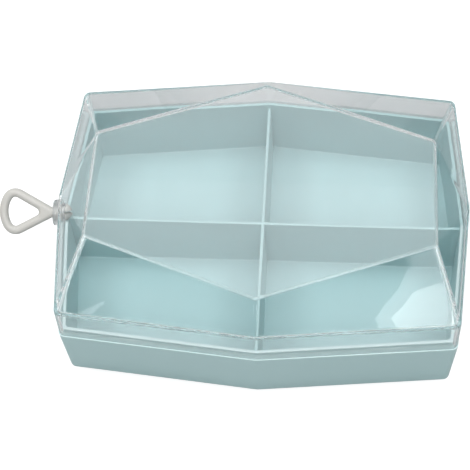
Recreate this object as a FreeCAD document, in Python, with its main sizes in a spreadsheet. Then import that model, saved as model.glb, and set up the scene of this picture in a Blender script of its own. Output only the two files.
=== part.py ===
# Pocket storage box with four compartments: an opaque moulded tray, a clear lid with a
# faceted crown that presses over the tray's lip, and a swivelling hanging eye at one end.
# Millimetres. Origin at the centre of the tray's underside, X along the box, Y across it
# towards the back, Z up. The hanging eye is at the -X end.

import FreeCAD
import Part
import Sketcher
import math
import os

V = FreeCAD.Vector

# Driving dimensions
SIZES = (
    # Plan of the box at the lid's fold line: eight-sided, every side bowed outward to a ridge
    ("end_reach", 60.0),
    ("end_bow", 3.4),
    ("side_reach", 45.0),
    ("side_bow", 5.7),
    ("corner_round", 2.0),
    ("ridge_round", 6.0),
    # Tray
    ("tray_height", 20.4),
    ("ledge_step", 0.2),
    ("rim_soft", 0.2),
    ("foot_inset", 0.7),
    ("tray_wall", 1.6),
    ("floor_thick", 1.5),
    ("foot_round", 0.4),
    ("pocket_round", 1.0),
    ("floor_round", 0.4),
    # Lip that the lid's skirt goes round
    ("lip_height", 2.9),
    ("lip_wall", 0.9),
    ("lip_gap", 0.25),
    ("lip_soft", 0.25),
    # Dividers, moulded with the tray and drafted
    ("divider_top", 1.0),
    ("divider_foot", 1.7),
    ("divider_drop", 1.9),
    ("divider_soft", 0.3),
    # Snap beads on the lip's long sides
    ("bead_x", 37.0),
    ("bead_length", 10.0),
    ("bead_height", 0.8),
    ("bead_proud", 0.15),
    ("bead_drop", 1.7),
    # Lid
    ("lid_wall", 1.1),
    ("skirt_height", 12.1),
    ("skirt_flare", 0.05),
    ("fold_soft", 1.0),
    ("crown_height", 8.4),
    ("crown_end_run", 10.2),
    ("crown_side_run", 8.1),
    ("crown_end_half", 18.1),
    ("crown_round", 1.5),
    ("brow_soft", 0.8),
    # Boss of the hanging eye, outside and inside the skirt, by its axis above the lid's rim
    ("swivel_rise", 4.0),
    ("boss_radius", 3.9),
    ("boss_tip_radius", 3.85),
    ("boss_proud", 2.3),
    ("boss_root", 0.8),
    ("seat_margin", 0.1),
    ("seat_proud", 0.4),
    ("seat_root", 0.5),
    # Stem and barbed head of the hanging eye
    ("stem_radius", 1.5),
    ("stem_gap", 0.08),
    ("head_radius", 2.4),
    ("head_length", 1.6),
    ("head_nose_radius", 1.35),
    ("barb_land", 0.4),
    ("head_gap", 0.15),
    ("head_clear", 0.3),
    ("slot_width", 0.7),
    # Eye: a rounded triangle seen from its flat side
    ("neck_length", 0.5),
    ("neck_half", 1.4),
    ("neck_root", 2.8),
    ("neck_root_radius", 1.0),
    ("eye_spread", 28.5),
    ("eye_reach", 16.5),
    ("eye_corner", 4.0),
    ("eye_end", 10.0),
    ("eye_strand", 2.6),
    ("eye_tip", 1.2),
    ("eye_thick", 2.7),
    ("eye_soft", 1.2),
    ("window_soft", 0.8),
    ("eye_tilt", 40.0),
)

doc = FreeCAD.newDocument("storage_box")
sheet = doc.addObject("Spreadsheet::Sheet", "dims")
for row, (alias, value) in enumerate(SIZES, start=1):
    sheet.set(f"A{row}", alias)
    sheet.set(f"B{row}", str(value))
    sheet.setAlias(f"B{row}", alias)
doc.recompute()


def number(expression):
    """Value of an expression of the sheet's sizes."""
    result = sheet.evalExpression(expression)
    return float(getattr(result, "Value", result))


def size(alias):
    """Value of one driving dimension."""
    return number(f"dims.{alias}")


# Places, heights and insets that several pieces share, as expressions of the sheet
CORNER_X = "(dims.end_reach - dims.end_bow)"
CORNER_Y = "(dims.side_reach - dims.side_bow)"
RIM_PROUD = "(dims.skirt_flare + dims.ledge_step)"
LIP_TOP = "(dims.tray_height + dims.lip_height)"
LIP_INSET = "(dims.lid_wall - dims.skirt_flare + dims.lip_gap)"
POCKET_INSET = f"({LIP_INSET} + dims.lip_wall)"
FLOOR_INSET = "(dims.foot_inset + dims.tray_wall)"
DIVIDER_CREST = f"({LIP_TOP} - dims.divider_drop)"
FOLD_HEIGHT = "(dims.tray_height + dims.skirt_height)"
CROWN_TOP = f"({FOLD_HEIGHT} + dims.crown_height)"
SWIVEL_HEIGHT = "(dims.tray_height + dims.swivel_rise)"
SEAT_RADIUS = "(dims.head_radius + dims.seat_margin)"
NECK_START = "(-dims.boss_proud - dims.neck_length)"
SEAT_FACE = "(dims.lid_wall + dims.seat_proud)"

# Centres of the eye's end arc and of the arc inside its tip, where the strands' inner faces meet
EYE_END_CENTRE = "(dims.eye_end - dims.boss_proud - dims.eye_reach)"
EYE_TIP_CENTRE = (
    f"({NECK_START} - (dims.eye_strand / cos(dims.eye_spread) - dims.neck_half) / tan(dims.eye_spread)"
    " - dims.eye_tip / sin(dims.eye_spread))"
)

# An edge that rises by this share of its length runs up a wall
STEEP = 0.9
TOLERANCE = 1e-4


def plan_points(inset):
    """Vertices of the eight-sided plan drawn in by an inset, counter-clockwise from +X."""
    end = size("end_reach") - inset
    corner_x = number(CORNER_X) - inset
    corner_y = number(CORNER_Y) - inset
    side = size("side_reach") - inset
    return [
        (end, 0),
        (corner_x, corner_y),
        (0, side),
        (-corner_x, corner_y),
        (-end, 0),
        (-corner_x, -corner_y),
        (0, -side),
        (corner_x, -corner_y),
    ]


# Sketch helpers

# Numbers by which a sketch knows its own axes and a geometry's vertices
X_AXIS, Y_AXIS = range(-1, -3, -1)
START, END, CENTRE = range(1, 4)


def origin_plane(body, role):
    """One of the body's own origin planes."""
    return next(item for item in body.Origin.OriginFeatures if item.Role == role)


def new_sketch(body, name, role, height="0"):
    """Empty sketch on an origin plane, raised along the plane's normal."""
    sketch = body.newObject("Sketcher::SketchObject", name)
    sketch.AttachmentSupport = [(origin_plane(body, role), "")]
    sketch.MapMode = "FlatFace"
    sketch.setExpression("AttachmentOffset.Base.z", height)
    return sketch


def constrain(sketch, kind, *references):
    """Add a constraint that has no size of its own."""
    sketch.addConstraint(Sketcher.Constraint(kind, *references))


def dimension(sketch, expression, kind, *references):
    """Add a sized constraint and bind it to an expression of the sheet."""
    value = number(expression)
    if kind == "Angle":
        value = math.radians(value)
    index = sketch.addConstraint(Sketcher.Constraint(kind, *references, value))
    sketch.setExpression(f"Constraints[{index}]", expression)


def place_vertex(sketch, geometry, x, y, vertex=START):
    """Bind both coordinates of a geometry's vertex to expressions."""
    dimension(sketch, x, "DistanceX", X_AXIS, START, geometry, vertex)
    dimension(sketch, y, "DistanceY", X_AXIS, START, geometry, vertex)


def add_loop(sketch, points):
    """Closed loop of straight lines through the points; returns its lines' indices."""
    first = sketch.GeometryCount
    count = len(points)
    for i in range(count):
        start = V(*points[i], 0)
        end = V(*points[(i + 1) % count], 0)
        sketch.addGeometry(Part.LineSegment(start, end), False)
    for i in range(count):
        constrain(sketch, "Coincident", first + i, END, first + (i + 1) % count, START)
    return range(first, first + count)


def placed_loop(sketch, corners):
    """Closed loop whose vertices are all given as pairs of expressions."""
    lines = add_loop(sketch, [(number(x), number(y)) for x, y in corners])
    for line, (x, y) in zip(lines, corners):
        place_vertex(sketch, line, x, y)


def outline_sketch(body, name, inset, height):
    """The box's eight-sided plan, drawn in by an inset, at a height.

    Only the +X +Y quarter is dimensioned; the other vertices mirror it.
    """
    sketch = new_sketch(body, name, "XY_Plane", height)
    lines = add_loop(sketch, plan_points(number(inset)))
    right, back_right, back, back_left, left, front_left, front, front_right = lines
    constrain(sketch, "PointOnObject", right, START, X_AXIS)
    constrain(sketch, "PointOnObject", back, START, Y_AXIS)
    constrain(sketch, "Symmetric", right, START, left, START, X_AXIS, START)
    constrain(sketch, "Symmetric", back, START, front, START, X_AXIS, START)
    constrain(sketch, "Symmetric", back_right, START, back_left, START, Y_AXIS)
    constrain(sketch, "Symmetric", back_right, START, front_right, START, X_AXIS)
    constrain(sketch, "Symmetric", back_left, START, front_left, START, X_AXIS)
    dimension(sketch, f"dims.end_reach - {inset}", "DistanceX", X_AXIS, START, right, START)
    dimension(sketch, f"dims.side_reach - {inset}", "DistanceY", X_AXIS, START, back, START)
    place_vertex(sketch, back_right, f"{CORNER_X} - {inset}", f"{CORNER_Y} - {inset}")
    return sketch


# Feature helpers

def pad(body, name, sketch, length, symmetric=False):
    """Pad of a sketch, one way or both ways from its plane."""
    feature = body.newObject("PartDesign::Pad", name)
    feature.Profile = sketch
    feature.SideType = "Symmetric" if symmetric else "One side"
    feature.setExpression("Length", length)
    doc.recompute()
    return feature


def hollow(body, name, sketch, depth):
    """Blind pocket below a sketch."""
    before = body.Shape.Volume
    feature = body.newObject("PartDesign::Pocket", name)
    feature.Profile = sketch
    feature.setExpression("Length", depth)
    doc.recompute()
    if body.Shape.Volume >= before:
        raise RuntimeError(f"{name} cuts nothing")
    return feature


def lean_in(body, name, base, angle, height, wall_length):
    """Draft the walls of a given length inwards below the level face at a height."""
    walls = []
    level_faces = []
    for i, face in enumerate(base.Shape.Faces, start=1):
        box = face.BoundBox
        if box.ZLength < TOLERANCE and abs(box.ZMin - height) < TOLERANCE:
            level_faces.append(f"Face{i}")
        if abs(box.ZLength - wall_length) < TOLERANCE:
            walls.append((f"Face{i}", face))
    facing_out = all(face.normalAt(0, 0).dot(face.CenterOfMass) > 0 for _, face in walls)
    feature = body.newObject("PartDesign::Draft", name)
    feature.Base = (base, [wall for wall, _ in walls])
    feature.NeutralPlane = (base, level_faces)
    feature.Reversed = facing_out
    feature.setExpression("Angle", angle)
    doc.recompute()
    return feature


def cut_through(body, name, sketch):
    """Pocket of a sketch through the whole body, both ways from its plane."""
    before = body.Shape.Volume
    feature = body.newObject("PartDesign::Pocket", name)
    feature.Profile = sketch
    feature.SideType = "Symmetric"
    feature.Type = "ThroughAll"
    doc.recompute()
    if body.Shape.Volume >= before:
        raise RuntimeError(f"{name} cuts nothing")
    return feature


def dress_edges(body, kind, measure, name, base, expression, chosen):
    """Edge feature of one kind on the base feature's edges that pass the test."""
    names = [f"Edge{i}" for i, edge in enumerate(base.Shape.Edges, start=1) if chosen(edge)]
    feature = body.newObject(kind, name)
    feature.Base = (base, names)
    feature.setExpression(measure, expression)
    doc.recompute()
    return feature


def fillet(body, name, base, radius, chosen):
    """Rounding of the base feature's chosen edges."""
    return dress_edges(body, "PartDesign::Fillet", "Radius", name, base, radius, chosen)


def chamfer(body, name, base, width, chosen):
    """Narrow bevel of the base feature's chosen edges."""
    return dress_edges(body, "PartDesign::Chamfer", "Size", name, base, width, chosen)


def middle(edge):
    """Point halfway along an edge's parameter range."""
    return edge.valueAt((edge.FirstParameter + edge.LastParameter) / 2)


def rising(edge):
    """True for an edge that runs up a wall."""
    return edge.BoundBox.ZLength > STEEP * edge.Length


def at_corner(edge):
    """True for an edge near one of the plan's four corners, not at a side's or end's ridge."""
    point = middle(edge)
    return abs(point.x) > size("end_reach") / 2 and abs(point.y) > size("side_reach") / 2


def level(edge, height):
    """True for an edge that lies at one height."""
    box = edge.BoundBox
    return abs(box.ZMin - height) < TOLERANCE and abs(box.ZMax - height) < TOLERANCE


def round_walls(body, name, base, corner_radius, chosen):
    """Round the four corner edges and the four shallow ridges of one ring of walls."""
    corners = fillet(
        body, f"{name}_corners", base, corner_radius,
        lambda edge: rising(edge) and at_corner(edge) and chosen(edge),
    )
    return fillet(
        body, f"{name}_ridges", corners, "dims.ridge_round",
        lambda edge: rising(edge) and not at_corner(edge) and chosen(edge),
    )


# Tray

def add_divider(body, name, role, length):
    """Drafted divider with a softened crest, padded both ways into the tray's walls."""
    sketch = new_sketch(body, f"{name}_profile", role)
    root = "dims.floor_thick / 2"
    foot = "dims.divider_foot / 2"
    shoulder = "dims.divider_top / 2"
    crest = f"({shoulder} - dims.divider_soft)"
    shoulder_height = f"{DIVIDER_CREST} - dims.divider_soft"
    placed_loop(sketch, [
        (f"-{foot}", root),
        (foot, root),
        (shoulder, shoulder_height),
        (crest, DIVIDER_CREST),
        (f"-{crest}", DIVIDER_CREST),
        (f"-{shoulder}", shoulder_height),
    ])
    pad(body, name, sketch, length, symmetric=True)


def lip_line(x, inset):
    """Expression of the Y of a long side's +X +Y half at a place along X, at an inset."""
    slope = f"dims.side_bow / ({CORNER_X} - {inset})"
    return f"(dims.side_reach - {inset} - {x} * {slope})"


def add_beads(body):
    """Four low snap beads on the lip, one on each half of the long sides."""
    height = f"{LIP_TOP} - dims.bead_drop - dims.bead_height / 2"
    sketch = new_sketch(body, "bead_outlines", "XY_Plane", height)
    near = "(dims.bead_x - dims.bead_length / 2)"
    far = "(dims.bead_x + dims.bead_length / 2)"
    outer = f"({LIP_INSET} - dims.bead_proud)"
    inner = f"({LIP_INSET} + dims.lip_wall / 2)"
    for x_sign in (1, -1):
        for y_sign in (1, -1):
            placed_loop(sketch, [
                (f"{x_sign} * {x}", f"{y_sign} * {lip_line(x, inset)}")
                for x, inset in ((near, inner), (far, inner), (far, outer), (near, outer))
            ])
    pad(body, "snap_beads", sketch, "dims.bead_height")


def add_notch(body):
    """Notch in the lip's -X end that clears the hanging eye's seat and head."""
    sketch = new_sketch(body, "notch_outline", "YZ_Plane", f"{POCKET_INSET} + dims.lip_wall - dims.end_reach")
    half = f"({SEAT_RADIUS} + dims.head_clear)"
    foot = f"({SWIVEL_HEIGHT} - {half})"
    placed_loop(sketch, [
        (f"-{half}", foot),
        (half, foot),
        (half, f"{LIP_TOP} + dims.lip_wall"),
        (f"-{half}", f"{LIP_TOP} + dims.lip_wall"),
    ])
    hollow(body, "head_notch", sketch, f"{POCKET_INSET} + 2 * dims.lip_wall")


def build_tray():
    """Opaque tray: drafted walls, notched lip, four compartments and snap beads."""
    body = doc.addObject("PartDesign::Body", "base_tray")

    plan = outline_sketch(body, "tray_outline", f"(-{RIM_PROUD})", "0")
    block = pad(body, "tray_block", plan, "dims.tray_height")
    drafted = lean_in(
        body, "tray_draft", block, f"atan((dims.foot_inset + {RIM_PROUD}) / dims.tray_height)",
        size("tray_height"), size("tray_height"),
    )
    walls = round_walls(body, "tray", drafted, "dims.corner_round", lambda edge: True)
    footed = fillet(body, "foot_edge", walls, "dims.foot_round", lambda edge: level(edge, 0))
    chamfer(body, "ledge_edge", footed, "dims.rim_soft", lambda edge: level(edge, size("tray_height")))

    lip_outline = outline_sketch(body, "lip_outline", LIP_INSET, "dims.tray_height")
    lip = pad(body, "lip", lip_outline, "dims.lip_height")
    round_walls(
        body, "lip", lip, "max(dims.corner_round - dims.lid_wall - dims.lip_gap; dims.lip_gap)",
        lambda edge: middle(edge).z > size("tray_height"),
    )

    mouth = outline_sketch(body, "mouth_outline", POCKET_INSET, LIP_TOP)
    depth = f"({LIP_TOP} - dims.floor_thick)"
    pocket = hollow(body, "pocket", mouth, depth)
    drafted_pocket = lean_in(
        body, "pocket_draft", pocket, f"atan(({FLOOR_INSET} - {POCKET_INSET}) / {depth})",
        number(LIP_TOP), number(depth),
    )
    pocket_walls = round_walls(
        body, "pocket", drafted_pocket, "dims.pocket_round",
        lambda edge: abs(edge.BoundBox.ZLength - number(depth)) < TOLERANCE,
    )
    floored = fillet(
        body, "floor_edge", pocket_walls, "dims.floor_round",
        lambda edge: level(edge, size("floor_thick")),
    )
    chamfer(body, "lip_edge", floored, "dims.lip_soft", lambda edge: level(edge, number(LIP_TOP)))

    in_lip = f"({LIP_INSET} + dims.lip_wall / 2)"
    add_divider(body, "long_divider", "YZ_Plane", f"2 * (dims.end_reach - {in_lip})")
    add_divider(body, "cross_divider", "XZ_Plane", f"2 * (dims.side_reach - {in_lip})")
    add_beads(body)
    add_notch(body)
    return body


# Lid skins: a ring goes once round the box in sixteen stretches, one at each of the plan's eight
# vertices and one for the side after it. A stretch is its start, its middle and its end, with
# no middle where it is straight. A stretch that shrinks to a point has one point for both ends.
# Every fourth stretch is the ridge of an end or of a long side.
RIDGE_STEP = 4


def rounded_ring(points, radii, height):
    """Ring of a polygon with rounded vertices."""
    count = len(points)
    arcs = []
    for i in range(count):
        vertex = V(*points[i], height)
        behind = (V(*points[i - 1], height) - vertex).normalize()
        ahead = (V(*points[(i + 1) % count], height) - vertex).normalize()
        half = behind.getAngle(ahead) / 2
        reach = radii[i] / math.tan(half)
        centre = vertex + (behind + ahead).normalize() * (radii[i] / math.sin(half))
        crest = centre + (vertex - centre).normalize() * radii[i]
        arcs.append((vertex + behind * reach, crest, vertex + ahead * reach))
    ring = []
    for i in range(count):
        ring.append(arcs[i])
        ring.append((arcs[i][2], None, arcs[(i + 1) % count][0]))
    return ring


def plan_ring(inset, corner_radius, height):
    """Ring of the box's eight-sided plan, with its shallow ridges cut straight across."""
    ring = rounded_ring(plan_points(inset), [size("ridge_round"), corner_radius] * 4, height)
    return [
        (start, None if i % RIDGE_STEP == 0 else crest, end)
        for i, (start, crest, end) in enumerate(ring)
    ]


def crown_ring(inset, height):
    """Ring of the crown's flat hexagon, with a stretch for each stretch of the plan.

    The plan's end arcs meet the hexagon's ends, and its end sides meet the hexagon's corners.
    """
    x = size("end_reach") - size("crown_end_run") - inset
    y = size("crown_end_half") - inset
    side = size("side_reach") - size("crown_side_run") - inset
    points = [(x, -y), (x, y), (0, side), (-x, y), (-x, -y), (0, -side)]
    ring = rounded_ring(points, [size("crown_round")] * 6, height)
    front_right, right, back_right, back_1, back, back_2, back_left, left, front_left = ring[:9]

    def dot(point):
        return (point, None, point)

    return [
        right, dot(back_right[0]), back_right, back_1, back, back_2, back_left, dot(back_left[2]),
        left, dot(front_left[0]), front_left, *ring[9:], front_right, dot(front_right[2]),
    ]


def centre_of(stretch):
    """Middle point of a stretch, straight or not."""
    start, crest, end = stretch
    return crest or (start + end) * 0.5


def combine(rings, rule):
    """New ring whose every point is worked out by a rule from the rings' matching points."""
    made = []
    for stretches in zip(*rings):
        crest = rule(*[centre_of(stretch) for stretch in stretches]) if stretches[0][1] else None
        start = rule(*[stretch[0] for stretch in stretches])
        end = rule(*[stretch[2] for stretch in stretches])
        made.append((start, crest, end))
    return made


def stepped(ring, towards, distance):
    """Ring moved a fixed distance towards another ring."""
    return combine((ring, towards), lambda here, there: here + (there - here).normalize() * distance)


def softened(edge, below, above):
    """Ring through the middle of the soft curve that replaces a sharp edge."""
    return combine((edge, below, above), lambda sharp, low, high: sharp * 0.5 + (low + high) * 0.25)


def stretch_edge(stretch):
    """Line or arc of a stretch, or nothing for a point."""
    start, crest, end = stretch
    if crest:
        return Part.Arc(start, crest, end).toShape()
    if start.distanceToPoint(end) < TOLERANCE:
        return None
    return Part.LineSegment(start, end).toShape()


def flat(points):
    """True if four points lie in one plane."""
    first, second, third, fourth = points
    normal = (second - first).cross(third - first).normalize()
    return abs(normal.dot(fourth - first)) < TOLERANCE


def band(lower, upper):
    """Faces between two rings: flat where they can be, and else ruled."""
    faces = []
    for low, high in zip(lower, upper):
        edges = [edge for edge in (stretch_edge(low), stretch_edge(high)) if edge]
        corners = [low[0], low[2], high[2], high[0]]
        if len(edges) == 1:
            wide, tip = (low, high[0]) if stretch_edge(low) else (high, low[0])
            faces.append(Part.Face(Part.makePolygon([wide[0], wide[2], tip, wide[0]])))
        elif len(edges) == 2 and not low[1] and not high[1] and flat(corners):
            faces.append(Part.Face(Part.makePolygon([*corners, low[0]])))
        elif len(edges) == 2:
            faces.append(Part.makeRuledSurface(*edges))
    return faces


def cap(ring):
    """Flat face that closes a level ring."""
    edges = [stretch_edge(stretch) for stretch in ring]
    return Part.Face(Part.Wire([edge for edge in edges if edge]))


def skin_solid(rings):
    """Closed solid through a stack of rings, from the lowest to the highest."""
    faces = [cap(rings[0]), cap(rings[-1])]
    for lower, upper in zip(rings, rings[1:]):
        faces += band(lower, upper)
    sewn = Part.Compound(faces)
    sewn.sewShape()
    solid = Part.Solid(sewn.Shells[0])
    if solid.Volume < 0:
        solid.reverse()
    return solid


# Lid

def outer_skin():
    """Outside of the lid: flared skirt, soft fold, faceted crown, soft brow and flat top."""
    top = number(CROWN_TOP)
    soft = size("rim_soft")
    sole = plan_ring(soft - size("skirt_flare"), size("corner_round") - soft, size("tray_height"))
    mouth = plan_ring(-size("skirt_flare"), size("corner_round"), size("tray_height"))
    fold = plan_ring(0, size("corner_round"), number(FOLD_HEIGHT))
    rim = stepped(mouth, fold, soft)
    crown = crown_ring(0, top)
    fold_low = stepped(fold, mouth, size("fold_soft"))
    fold_high = stepped(fold, crown, size("fold_soft"))
    brow_low = stepped(crown, fold, size("brow_soft"))
    brow_high = crown_ring(size("brow_soft"), top)
    return skin_solid([
        sole,
        softened(mouth, sole, rim),
        rim,
        fold_low,
        softened(fold, fold_low, fold_high),
        fold_high,
        brow_low,
        softened(crown, brow_low, brow_high),
        brow_high,
    ])


def inner_skin():
    """Inside of the lid, one wall in from the outside, run out below the mouth."""
    wall = size("lid_wall")
    slope = math.atan2(size("crown_height"), size("crown_end_run"))
    fold_drop = wall * math.tan((math.pi / 2 - slope) / 2)
    crown_inset = wall * math.tan(slope / 2)
    corner_radius = max(size("corner_round") - wall, size("lip_gap"))
    mouth = plan_ring(wall - size("skirt_flare"), corner_radius, size("tray_height") - wall)
    fold = plan_ring(wall, corner_radius, number(FOLD_HEIGHT) - fold_drop)
    crown = crown_ring(crown_inset, number(CROWN_TOP) - wall)
    return skin_solid([mouth, fold, crown])


def along_swivel(kind, name, start, length, **radii):
    """Round solid on the swivel's axis, from a distance along +X."""
    solid = doc.addObject(kind, name)
    solid.Placement.Rotation = FreeCAD.Rotation(V(0, 1, 0), 90)
    solid.setExpression("Placement.Base.x", f"-dims.end_reach + {start}")
    solid.setExpression("Placement.Base.z", SWIVEL_HEIGHT)
    solid.setExpression("Height", length)
    for name_of_radius, expression in radii.items():
        solid.setExpression(name_of_radius, expression)
    return solid


def build_lid():
    """Clear lid: hollow faceted shell with the hanging eye's boss, seat and bore."""
    outside = doc.addObject("Part::Feature", "lid_outside")
    outside.Shape = outer_skin()
    inside = doc.addObject("Part::Feature", "lid_inside")
    inside.Shape = inner_skin()
    shell = doc.addObject("Part::Cut", "lid_shell")
    shell.Base = outside
    shell.Tool = inside

    boss = along_swivel(
        "Part::Cone", "boss", "(-dims.boss_proud)", "dims.boss_proud + dims.boss_root",
        Radius1="dims.boss_tip_radius", Radius2="dims.boss_radius",
    )
    seat = along_swivel(
        "Part::Cylinder", "head_seat", "dims.seat_root", f"{SEAT_FACE} - dims.seat_root",
        Radius=SEAT_RADIUS,
    )
    bore = along_swivel(
        "Part::Cylinder", "swivel_bore", "(-2 * dims.boss_proud)", f"3 * dims.boss_proud + {SEAT_FACE}",
        Radius="dims.stem_radius + dims.stem_gap",
    )
    bossed = doc.addObject("Part::MultiFuse", "bossed_shell")
    bossed.Shapes = [shell, boss, seat]
    lid = doc.addObject("Part::Cut", "lid")
    lid.Base = bossed
    lid.Tool = bore
    doc.recompute()
    return lid


# Hanging eye, drawn flat with its stem along +X and its zero where the swivel's axis crosses
# the lid's end ridge

def arc_geometry(centre, radius, start, end):
    """Counter-clockwise arc between two angles in radians."""
    circle = Part.Circle(V(*centre, 0), V(0, 0, 1), radius)
    return Part.ArcOfCircle(circle, start, end)


def eye_corner_centre():
    """Centre of the upper corner's circle, which touches the strand and the end arc inside."""
    slope = math.tan(math.radians(size("eye_spread")))
    end_x = number(EYE_END_CENTRE)
    neck_x = number(NECK_START)
    lift = size("neck_half") - size("eye_corner") * math.hypot(1, slope)
    span = neck_x - end_x
    square = 1 + slope ** 2
    half_linear = lift * slope - span
    rest = lift ** 2 + span ** 2 - (size("eye_end") - size("eye_corner")) ** 2
    step = (math.sqrt(half_linear ** 2 - square * rest) - half_linear) / square
    return (neck_x - step, lift + step * slope)


def eye_loop(sketch, inset, pointed):
    """Rounded triangle of the eye, drawn in by an inset: strands, two corners and the end.

    At the neck the strands are joined by a small arc where the loop is pointed,
    and by a line as wide as the neck where it isn't.
    """
    corner_x, corner_y = eye_corner_centre()
    end_x = number(EYE_END_CENTRE)
    corner = size("eye_corner") - number(inset)
    end = size("eye_end") - number(inset)
    across = math.pi / 2 - math.radians(size("eye_spread"))
    bearing = math.atan2(corner_y, corner_x - end_x)
    touch_x = corner_x + corner * math.cos(across)
    touch_y = corner_y + corner * math.sin(across)
    tip_x = number(EYE_TIP_CENTRE)
    tip = size("eye_tip")
    if pointed:
        root_x = tip_x + tip * math.cos(across)
        root_y = tip * math.sin(across)
        join = arc_geometry((tip_x, 0), tip, -across, across)
    else:
        root_x = number(NECK_START)
        root_y = size("neck_half")
        join = Part.LineSegment(V(root_x, -root_y, 0), V(root_x, root_y, 0))
    upper = Part.LineSegment(V(root_x, root_y, 0), V(touch_x, touch_y, 0))
    upper_corner = arc_geometry((corner_x, corner_y), corner, across, bearing)
    end_arc = arc_geometry((end_x, 0), end, bearing, -bearing)
    lower_corner = arc_geometry((corner_x, -corner_y), corner, -bearing, -across)
    lower = Part.LineSegment(V(touch_x, -touch_y, 0), V(root_x, -root_y, 0))

    first = sketch.GeometryCount
    for piece in (join, upper, upper_corner, end_arc, lower_corner, lower):
        sketch.addGeometry(piece, False)
    join_i, upper_i, upper_corner_i, end_i, lower_corner_i, lower_i = range(first, first + 6)
    for one, other in (
        (upper_i, upper_corner_i),
        (upper_corner_i, end_i),
        (end_i, lower_corner_i),
        (lower_corner_i, lower_i),
    ):
        constrain(sketch, "Tangent", one, END, other, START)
    for corner_i in (upper_corner_i, lower_corner_i):
        dimension(sketch, f"dims.eye_corner - {inset}", "Radius", corner_i)
    dimension(sketch, f"dims.eye_end - {inset}", "Radius", end_i)
    place_vertex(sketch, end_i, EYE_END_CENTRE, "0", CENTRE)
    dimension(sketch, "180 - dims.eye_spread", "Angle", X_AXIS, START, upper_i, START)
    dimension(sketch, "dims.eye_spread", "Angle", X_AXIS, START, lower_i, START)
    if pointed:
        constrain(sketch, "Tangent", join_i, END, upper_i, START)
        constrain(sketch, "Tangent", lower_i, END, join_i, START)
        dimension(sketch, "dims.eye_tip", "Radius", join_i)
        place_vertex(sketch, join_i, EYE_TIP_CENTRE, "0", CENTRE)
    else:
        constrain(sketch, "Coincident", join_i, END, upper_i, START)
        constrain(sketch, "Coincident", lower_i, END, join_i, START)
        place_vertex(sketch, join_i, NECK_START, "-dims.neck_half", START)
        place_vertex(sketch, join_i, NECK_START, "dims.neck_half", END)


def on_eye_face(edge):
    """True for an edge that lies in one of the eye's two flat faces."""
    half_thick = size("eye_thick") / 2
    return level(edge, half_thick) or level(edge, -half_thick)


def above_wire(edge, wire):
    """True for an edge straight above or below a wire in the eye's middle plane."""
    foot = middle(edge)
    foot.z = 0
    return wire.distToShape(Part.Vertex(foot))[0] < TOLERANCE


def build_loop():
    """White hanging eye: flat rounded triangle, neck, stem and split barbed head."""
    body = doc.addObject("PartDesign::Body", "hang_loop")

    rim = new_sketch(body, "eye_rim", "XY_Plane")
    eye_loop(rim, "0", pointed=False)
    plate = pad(body, "eye_plate", rim, "dims.eye_thick", symmetric=True)
    fillet(
        body, "eye_edges", plate, "dims.eye_soft",
        lambda edge: on_eye_face(edge) and middle(edge).x < number(NECK_START) - TOLERANCE,
    )
    window = new_sketch(body, "eye_window", "XY_Plane")
    eye_loop(window, "dims.eye_strand", pointed=True)
    opening = cut_through(body, "eye_opening", window)
    window_wire = window.Shape.Wires[0]
    chamfer(
        body, "window_edges", opening, "dims.window_soft",
        lambda edge: on_eye_face(edge) and above_wire(edge, window_wire),
    )

    stem = new_sketch(body, "stem_profile", "XY_Plane")
    head_start = f"({SEAT_FACE} + dims.head_gap)"
    head_end = f"({head_start} + dims.head_length)"
    root = f"({NECK_START} - dims.neck_root)"
    placed_loop(stem, [
        (root, "0"),
        (head_end, "0"),
        (head_end, "dims.head_nose_radius"),
        (f"({head_start} + dims.barb_land)", "dims.head_radius"),
        (head_start, "dims.head_radius"),
        (head_start, "dims.stem_radius"),
        (NECK_START, "dims.stem_radius"),
        (root, "dims.neck_root_radius"),
    ])
    shaft = body.newObject("PartDesign::Revolution", "stem")
    shaft.Profile = stem
    shaft.ReferenceAxis = (stem, ["H_Axis"])
    shaft.Angle = 360
    doc.recompute()

    slot = new_sketch(body, "slot_outline", "XY_Plane")
    half_slot = "dims.slot_width / 2"
    slot_start = "dims.seat_root"
    slot_end = f"({head_end} + dims.slot_width)"
    placed_loop(slot, [
        (slot_start, f"-{half_slot}"),
        (slot_end, f"-{half_slot}"),
        (slot_end, half_slot),
        (slot_start, half_slot),
    ])
    cut_through(body, "head_slot", slot)

    body.Placement.Rotation = FreeCAD.Rotation(V(1, 0, 0), size("eye_tilt"))
    body.setExpression("Placement.Base.x", "-dims.end_reach")
    body.setExpression("Placement.Base.z", SWIVEL_HEIGHT)
    body.setExpression("Placement.Rotation.Angle", "dims.eye_tilt")
    doc.recompute()
    return body


pieces = [build_tray(), build_lid(), build_loop()]
doc.recompute()

for item in doc.Objects:
    if "Invalid" in item.State or "Error" in item.State:
        raise RuntimeError(f"{item.Name} failed: {item.State}")
for piece in pieces:
    shape = piece.Shape
    if shape.isNull() or not shape.isValid() or len(shape.Solids) != 1:
        raise RuntimeError(f"{piece.Label} is not one valid solid")

os.makedirs("parts", exist_ok=True)
for piece in pieces:
    piece.Shape.exportStep(f"parts/{piece.Label}.step")
    print(f"{piece.Label}: {piece.Shape.Volume / 1000:.2f} cm3, {len(piece.Shape.Faces)} faces")
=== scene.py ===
"""Compartment storage box: its visible pieces, studio light and camera.

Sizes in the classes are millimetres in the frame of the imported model, with X along the box,
Y towards its back and Z up; meshes, lamps and the camera are made in metres.
"""

import logging
import math
from collections.abc import Callable, Iterable, Sequence
from dataclasses import dataclass, replace
from enum import Enum, IntEnum
from typing import Any

import bmesh
import bpy
from mathutils import Matrix, Vector


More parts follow.
